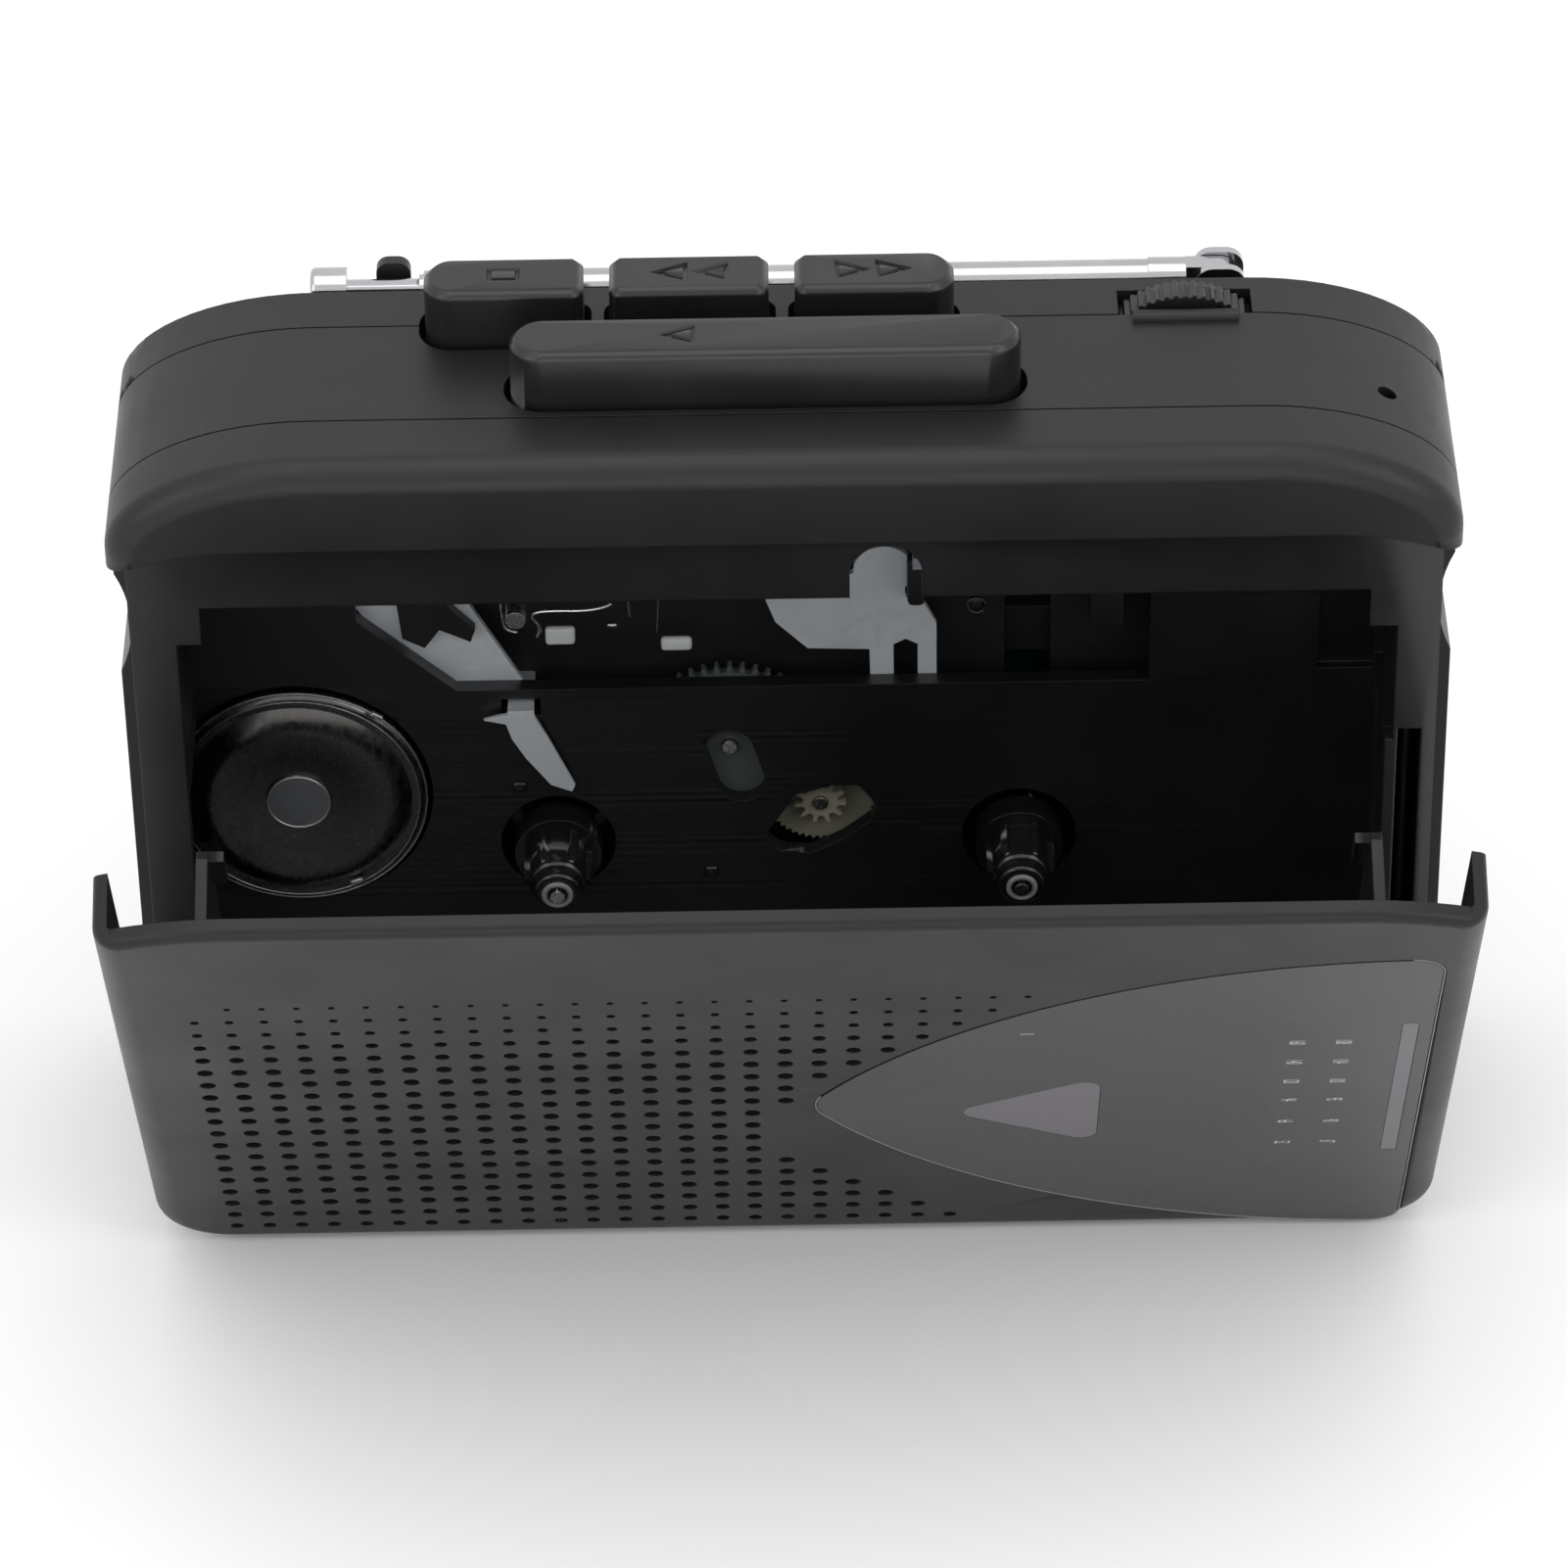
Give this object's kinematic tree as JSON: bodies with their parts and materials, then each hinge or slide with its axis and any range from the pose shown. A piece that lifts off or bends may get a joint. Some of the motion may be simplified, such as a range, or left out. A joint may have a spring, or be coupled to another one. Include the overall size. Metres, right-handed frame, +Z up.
{
  "type": "portable cassette recorder",
  "caption": "Pocket cassette player with radio: hinged cassette door, key row, telescopic aerial, thumbwheels and an open tape drive.",
  "frame": {"origin": "centre of the flat base under the closed case, on the plane it stands on", "axes": "+X to the right seen from the front, +Y back from the door to the battery side, +Z up towards the keys"},
  "size_m": [0.1195, 0.071, 0.094],
  "materials": {
    "black_case": "fine satin grain",
    "black_inner": "matt, fine ribs",
    "key_plastic": "semi-gloss",
    "smoked_label": "smoked, glossy",
    "clear_window": "translucent smoked lens",
    "spindle_plastic": "glossy moulded",
    "zinc_sheet": "zinc plated sheet",
    "black_plate": "black phosphated steel",
    "steel": "turned steel",
    "motor_steel": "dark plated can",
    "head_metal": "polished screen",
    "brass": "machined",
    "flywheel_steel": "turned",
    "rubber": "matt",
    "white_gear_plastic": "translucent nylon",
    "ivory_gear_plastic": "ivory acetal",
    "board_green": "solder mask",
    "component_black": "moulded",
    "pointer_red": "moulded",
    "cone_film": "thin film",
    "ferrite": "sintered",
    "chrome": "polished plating"
  },
  "bodies": {
    "casing": {"front_frame": "black_case", "middle_frame": "black_case", "rear_shell": "black_case", "case_screws": "steel", "battery_tray": "black_inner", "battery_contacts": "steel", "hinge_pins": "steel", "well_tray": "black_inner", "chassis_plate": "black_plate", "chassis_standoffs": "steel", "chassis_posts": "steel", "capstan_bush": "brass", "motor": "motor_steel", "drive_belt": "rubber", "key_bracket": "zinc_sheet", "brake_plate": "zinc_sheet", "brake_hook": "black_inner", "leaf_lever": "zinc_sheet", "link_plate": "zinc_sheet", "circuit_board": "board_green", "board_components": "component_black", "earphone_jack": "component_black", "volume_base": "component_black", "pointer_rail": "black_plate", "microphone": "component_black", "speaker_frame": "black_inner", "speaker_cone": "cone_film", "ferrite_rod": "ferrite", "aerial_fork": "chrome"},
    "door": {"door_shell": "black_case", "cassette_guides": "black_inner", "door_label": "smoked_label", "door_windows": "clear_window"},
    "play_key": {"play_key": "key_plastic", "play_spring": "steel"},
    "stop_key": {"stop_key": "key_plastic", "stop_spring": "steel"},
    "fast_forward_key": {"fast_forward_key": "key_plastic", "fast_forward_spring": "steel"},
    "rewind_key": {"rewind_key": "key_plastic", "rewind_spring": "steel"},
    "head_carriage": {"head_carriage": "zinc_sheet", "tape_head": "head_metal"},
    "pinch_roller": {"pinch_roller": "rubber"},
    "flywheel": {"flywheel": "flywheel_steel"},
    "motor_pulley": {"motor_pulley": "brass"},
    "takeup_spindle": {"takeup_spindle": "spindle_plastic"},
    "supply_spindle": {"supply_spindle": "spindle_plastic"},
    "idler_gear": {"idler_gear": "white_gear_plastic"},
    "stop_gear": {"stop_gear": "ivory_gear_plastic"},
    "volume_wheel": {"volume_wheel": "key_plastic"},
    "tuning_wheel": {"tuning_wheel": "key_plastic"},
    "tuning_pointer": {"tuning_pointer": "pointer_red"},
    "function_knob": {"function_knob": "key_plastic"},
    "battery_door": {"battery_door": "black_case"},
    "aerial_tube": {"aerial_tube": "chrome"},
    "aerial_mid_tube": {"aerial_mid_tube": "chrome"},
    "aerial_tip": {"aerial_tip_rod": "chrome"}
  },
  "joints": [
    {"name": "door_hinge", "type": "hinge", "parent": "casing", "child": "door", "pos_m": [0, -0.00785, 0.00442], "axis": [-1, 0, 0], "range_deg": [0, 29.1]},
    {"name": "play_key_press", "type": "slide", "parent": "casing", "child": "play_key", "axis": [0, 0, -1], "range_m": [0, 0.003], "stiffness_N_per_m": 300, "springref_m": -0.002, "deforming": ["play_spring"]},
    {"name": "stop_key_press", "type": "slide", "parent": "casing", "child": "stop_key", "axis": [0, 0, -1], "range_m": [0, 0.003], "stiffness_N_per_m": 300, "springref_m": -0.002, "deforming": ["stop_spring"]},
    {"name": "fast_forward_key_press", "type": "slide", "parent": "casing", "child": "fast_forward_key", "axis": [0, 0, -1], "range_m": [0, 0.003], "stiffness_N_per_m": 300, "springref_m": -0.002, "deforming": ["fast_forward_spring"]},
    {"name": "rewind_key_press", "type": "slide", "parent": "casing", "child": "rewind_key", "axis": [0, 0, -1], "range_m": [0, 0.003], "stiffness_N_per_m": 300, "springref_m": -0.002, "deforming": ["rewind_spring"]},
    {"name": "head_slide", "type": "slide", "parent": "casing", "child": "head_carriage", "axis": [0, 0, -1], "range_m": [0, 0.003]},
    {"name": "pinch_roller_spin", "type": "hinge", "parent": "head_carriage", "child": "pinch_roller", "pos_m": [-0.02505, -0.0091, 0.0746], "axis": [0, 1, 0], "continuous": true},
    {"name": "flywheel_spin", "type": "hinge", "parent": "casing", "child": "flywheel", "pos_m": [-0.02405, 0.0108, 0.0668], "axis": [0, 1, 0], "continuous": true},
    {"name": "motor_spin", "type": "hinge", "parent": "casing", "child": "motor_pulley", "pos_m": [-0.0449, 0.0108, 0.042], "axis": [0, 1, 0], "continuous": true},
    {"name": "takeup_spin", "type": "hinge", "parent": "casing", "child": "takeup_spindle", "pos_m": [-0.02125, -0.006, 0.03595], "axis": [0, 1, 0], "continuous": true},
    {"name": "supply_spin", "type": "hinge", "parent": "casing", "child": "supply_spindle", "pos_m": [0.02125, -0.006, 0.03595], "axis": [0, 1, 0], "continuous": true},
    {"name": "idler_spin", "type": "hinge", "parent": "casing", "child": "idler_gear", "pos_m": [-0.0053, -0.001, 0.0455], "axis": [0, 1, 0], "continuous": true},
    {"name": "stop_gear_spin", "type": "hinge", "parent": "casing", "child": "stop_gear", "pos_m": [0.00297, -0.001, 0.0388], "axis": [0, 1, 0], "continuous": true},
    {"name": "volume_turn", "type": "hinge", "parent": "casing", "child": "volume_wheel", "pos_m": [0.036, 0.0061, 0.0821], "axis": [0, 1, 0], "range_deg": [0, 270]},
    {"name": "tuning_turn", "type": "hinge", "parent": "casing", "child": "tuning_wheel", "pos_m": [0.051, 0.0014, 0.0305], "axis": [0, 1, 0], "range_deg": [-20, 280]},
    {"name": "pointer_slide", "type": "slide", "parent": "casing", "child": "tuning_pointer", "axis": [0, 0, 1], "range_m": [-0.003, 0.0292]},
    {"name": "function_slide", "type": "slide", "parent": "casing", "child": "function_knob", "axis": [0, 0, 1], "range_m": [0, 0.006]},
    {"name": "battery_door_slide", "type": "slide", "parent": "casing", "child": "battery_door", "axis": [1, 0, 0], "range_m": [0, 0.012]},
    {"name": "aerial_pivot", "type": "hinge", "parent": "casing", "child": "aerial_tube", "pos_m": [0.0396, 0.0135, 0.08645], "axis": [0, 1, 0], "range_deg": [0, 110]},
    {"name": "aerial_mid_slide", "type": "slide", "parent": "aerial_tube", "child": "aerial_mid_tube", "axis": [-1, 0, 0], "range_m": [0, 0.055]},
    {"name": "aerial_tip_slide", "type": "slide", "parent": "aerial_mid_tube", "child": "aerial_tip", "axis": [-1, 0, 0], "range_m": [0, 0.055]}
  ],
  "couplings": [
    {"joint": "head_slide", "follows": "play_key_press", "ratio": 1},
    {"joint": "motor_spin", "follows": "flywheel_spin", "ratio": 5.4},
    {"joint": "idler_spin", "follows": "stop_gear_spin", "ratio": -0.24444},
    {"joint": "pointer_slide", "follows": "tuning_turn", "m_per_rad": 0.005832}
  ]
}
